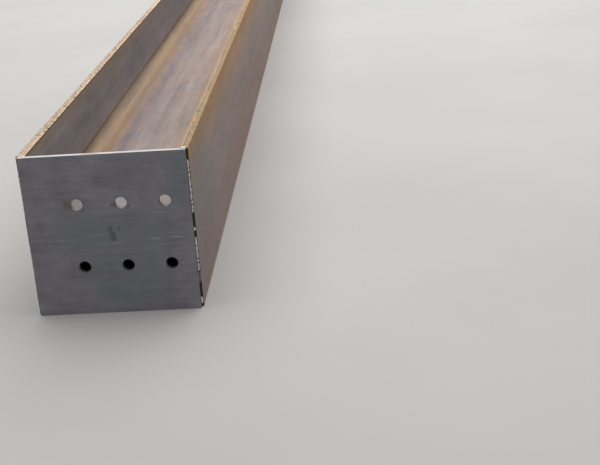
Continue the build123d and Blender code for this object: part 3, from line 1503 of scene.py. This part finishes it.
@dataclass
class EdgeWelds:
    """The stitch beads and tacks in the step between the plate's edge and one flange.

    Each bead and tack is given by the heights of its two ends.
    """

    side: Side
    plate_leg: float = 8.0 * MM
    flange_leg: float = 3.7 * MM
    station_step: float = 0.6 * MM
    tack_lump_share: float = 0.1
    lower_tack: Span = (5 * MM, 20 * MM)
    lower_bead: Span = (70 * MM, 138.65 * MM)
    web_tack: Span = (148.15 * MM, 157.15 * MM)
    upper_bead: Span = (182.65 * MM, 284.3 * MM)
    beads_patch: Patch = Patch(high=0.94)

    def stations(self, start: float, end: float) -> list[BeadStation]:
        """Places up the step.

        Args:
            start: The bead's lower end.
            end: Its upper end.

        Returns:
            The places in order.
        """
        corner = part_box("end_plate")[1]
        x, sideways = self.side.value * corner.x, Vector((self.side.value, 0, 0))
        heights = spaced(start, end, round((end - start) / self.station_step))
        return [BeadStation(Vector((x, corner.y, z)), Vector((0, -1, 0)), sideways) for z in heights]

    def build(self) -> bpy.types.Object:
        """Lays all beads and tacks of this side.

        Returns:
            The welds as one piece.
        """
        maker = MeshMaker()
        bead = WeldBead(self.plate_leg, self.flange_leg)
        tack = WeldBead(self.plate_leg, self.flange_leg, lump_share=self.tack_lump_share)
        runs = (self.lower_tack, self.lower_bead, self.web_tack, self.upper_bead)
        for weld, run, lane in zip((tack, bead, tack, bead), runs, self.beads_patch.lanes(len(runs))):
            weld.lay(maker, self.stations(*run), self.side is Side.LEFT, [lane])
        return maker.piece(f"{self.side.name.lower()}_edge_beads", bead.crease_degrees)


@dataclass
class TroughWeld:
    """The fillet weld behind the plate, round the inside of one trough.

    It stops holdback below the toes, and lies on the map in so many stretches.
    """

    trough: Trough
    sizes: SectionSizes = field(default_factory=SectionSizes)
    leg: float = 5.8 * MM
    lump_share: float = 0.16
    holdback: float = 12 * MM
    station_step: float = 0.8 * MM
    bead_patch: Patch = Patch(high=0.94)
    stretches: int = 5

    def path(self) -> Outline:
        """The trough's inner outline from left to right.

        Returns:
            Each point with its way into the trough.
        """
        size, way = self.sizes, self.trough.value
        web = size.middle + way * size.web_thickness / 2
        toe = size.middle + way * (size.middle - self.holdback)
        root = size.root_radius
        centre = Vector((size.inner_face - root, 0, web + way * root))
        wall, arc, floor = abs(toe - centre.z), root * math.pi / 2, centre.x
        total = wall + arc + floor
        right = []
        for share in shares(round(total / self.station_step)):
            run = share * total
            if run < floor:
                right.append((Vector((run, 0, web)), Vector((0, 0, way))))
            elif run < floor + arc:
                turn = (run - floor) / root
                spoke = Vector((math.sin(turn), 0, -way * math.cos(turn)))
                right.append((centre + spoke * root, -spoke))
            else:
                rise = run - floor - arc
                right.append((Vector((size.inner_face, 0, centre.z + way * rise)), Vector((-1, 0, 0))))
        mirror = Matrix.Diagonal((-1, 1, 1))
        return [(mirror @ at, mirror @ inward) for at, inward in reversed(right[1:])] + right

    def build(self) -> bpy.types.Object:
        """Lays the bead along the trough.

        Returns:
            The weld.
        """
        maker = MeshMaker()
        back = Vector((0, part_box("end_plate")[1].y, 0))
        stations = [BeadStation(at + back, inward, Vector((0, 1, 0))) for at, inward in self.path()]
        bead = WeldBead(self.leg, self.leg, lump_share=self.lump_share)
        bead.lay(maker, stations, self.trough is Trough.UPPER, self.bead_patch.lanes(self.stretches))
        return maker.piece(f"{self.trough.name.lower()}_trough_fillet", bead.crease_degrees)


@dataclass
class SeamTack:
    """The tack on top, across the seam of plate and right-hand flange, in two humps.

    Between the humps it dips by dip_share, over dip_width of its half length. Its edge
    wanders inwards, and its top stays just below its CAD node's.
    """

    rings: int = 10
    spokes: int = 36
    dip_share: float = 0.35
    dip_width: float = 0.3
    edge_wander: float = 0.12
    edge_waves: float = 3.0
    edge_seed: float = 4.0
    top_share: float = 0.98
    base: float = 0.3 * MM
    crease_degrees: float = 60.0
    dome_patch: Patch = Patch(right=0.7)
    base_patch: Patch = Patch(left=0.75)

    def build(self) -> bpy.types.Object:
        """Raises the humps on rings about the tack's middle.

        Returns:
            The tack.
        """
        low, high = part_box("seam_tack")
        centre = (low + high) / 2
        half_x, half_y, rise = (high.x - low.x) / 2, (high.y - low.y) / 2, high.z - low.z
        maker = MeshMaker()
        rows = []
        for share in shares(self.rings):
            dome = math.sqrt(max(0.0, 1 - share * share))
            foot = low.z - (self.base if share == 1 else 0)
            row = []
            for turn in turns(self.spokes):
                right, onward = math.cos(turn), math.sin(turn)
                wave = ripple(self.edge_waves * right, self.edge_waves * onward, self.edge_seed)
                reach = share * (1 - self.edge_wander * wave)
                x, y = centre.x + half_x * reach * right, centre.y + half_y * reach * onward
                off_dip = (x - centre.x) / (self.dip_width * half_x)
                height = dome * (1 - self.dip_share * math.exp(-(off_dip**2)))
                # The height also sets the weld finish's painted light: a painted highlight on the humps,
                # and painted shade at the edge.
                row.append(maker.vertex(x, y, foot + rise * self.top_share * height, height))
            rows.append(row)
        for inner, outer in pairwise(rows):
            maker.grid(outer, inner)
        maker.lay_flat(self.dome_patch, 0, 1)
        maker.face(rows[-1][::-1])
        maker.lay_flat(self.base_patch, 0, 1)
        return maker.piece("seam_tack_humps", self.crease_degrees)


@dataclass(frozen=True)
class Shot:
    """The photograph's camera, worked out from the plate's corners, holes and flange edges."""

    picture_width: int = 600
    focal_pixels: float = 1139.2
    sensor: float = 36.0
    clip: Span = (0.05, 200.0)
    place: Point = (0.44174, -4.91334, 0.85595)
    turn: Point = (0.36065, 0.03969, -0.05987)

    def build(self) -> None:
        """Makes the camera and sets it as the scene's."""
        lens = bpy.data.cameras.new("photo_camera")
        lens.sensor_width = self.sensor
        lens.lens = self.focal_pixels * self.sensor / self.picture_width
        lens.clip_start, lens.clip_end = self.clip
        camera = bpy.data.objects.new("photo_camera", lens)
        axis = Vector(self.turn)
        level = Matrix(((1, 0, 0), (0, 0, -1), (0, 1, 0)))
        right, down, forward = Matrix.Rotation(axis.length, 3, axis.normalized()) @ level
        looking = Matrix((right, -down, -forward)).transposed().to_4x4()
        camera.matrix_world = Matrix.Translation(self.place) @ looking
        bpy.context.scene.collection.objects.link(camera)
        bpy.context.scene.camera = camera


@dataclass(frozen=True)
class Studio:
    """Plain pale floor and soft light from above."""

    floor_rings: tuple[float, ...] = (0.0, 5.0, 20.0, 60.0)
    floor_sides: int = 64
    sky: Tone = Tone(0.62, 0.63, 0.65)
    sky_level: float = 0.56
    lamp_height: float = 4.5
    lamp_size: Span = (7.0, 12.0)
    lamp_place: Spot = (0.4, 2.0)
    lamp_watts: float = 560.0

    def floor(self) -> None:
        """Makes the floor, which is no part of the beam."""
        maker = MeshMaker()
        ways = [(math.cos(turn), math.sin(turn)) for turn in turns(self.floor_sides)]
        rows = [[maker.vertex(reach * x, reach * y, 0.0) for x, y in ways] for reach in self.floor_rings]
        for inner, outer in pairwise(rows):
            maker.grid(outer, inner)
        floor = maker.piece("floor", 60)
        floor.data.materials.append(FloorFinish().make())

    def build(self) -> None:
        """Makes the floor, the sky and the lamp."""
        self.floor()
        world = bpy.data.worlds.new("soft_sky")
        world.use_nodes = True
        sky = world.node_tree.nodes["Background"]
        sky.inputs["Color"].default_value = self.sky.rgba()
        sky.inputs["Strength"].default_value = self.sky_level
        bpy.context.scene.world = world

        lamp = bpy.data.lights.new("ceiling_light", "AREA")
        lamp.shape = "RECTANGLE"
        lamp.size, lamp.size_y = self.lamp_size
        lamp.energy = self.lamp_watts
        holder = bpy.data.objects.new("ceiling_light", lamp)
        holder.location = (*self.lamp_place, self.lamp_height)
        bpy.context.scene.collection.objects.link(holder)
        bpy.context.scene.view_settings.view_transform = "Standard"


def main() -> None:
    """Builds the camera, the studio and each piece of the beam."""
    logging.basicConfig(level=logging.INFO, format="%(name)s: %(message)s")
    Shot().build()
    Studio().build()
    weld_metal = WeldFinish().make()
    dress(RolledSection().build(), MillScaleFinish().make(), "mill_scale_steel", "i_section")
    dress(EndPlate().build(), PlateFinish().make(), "plate_steel", "end_plate")
    for side in Side:
        dress(EdgeWelds(side).build(), weld_metal, "weld_metal", f"{side.name.lower()}_edge_welds")
    for trough in Trough:
        dress(TroughWeld(trough).build(), weld_metal, "weld_metal", f"{trough.name.lower()}_trough_weld")
    dress(SeamTack().build(), weld_metal, "weld_metal", "seam_tack")


if __name__ == "__main__":
    main()
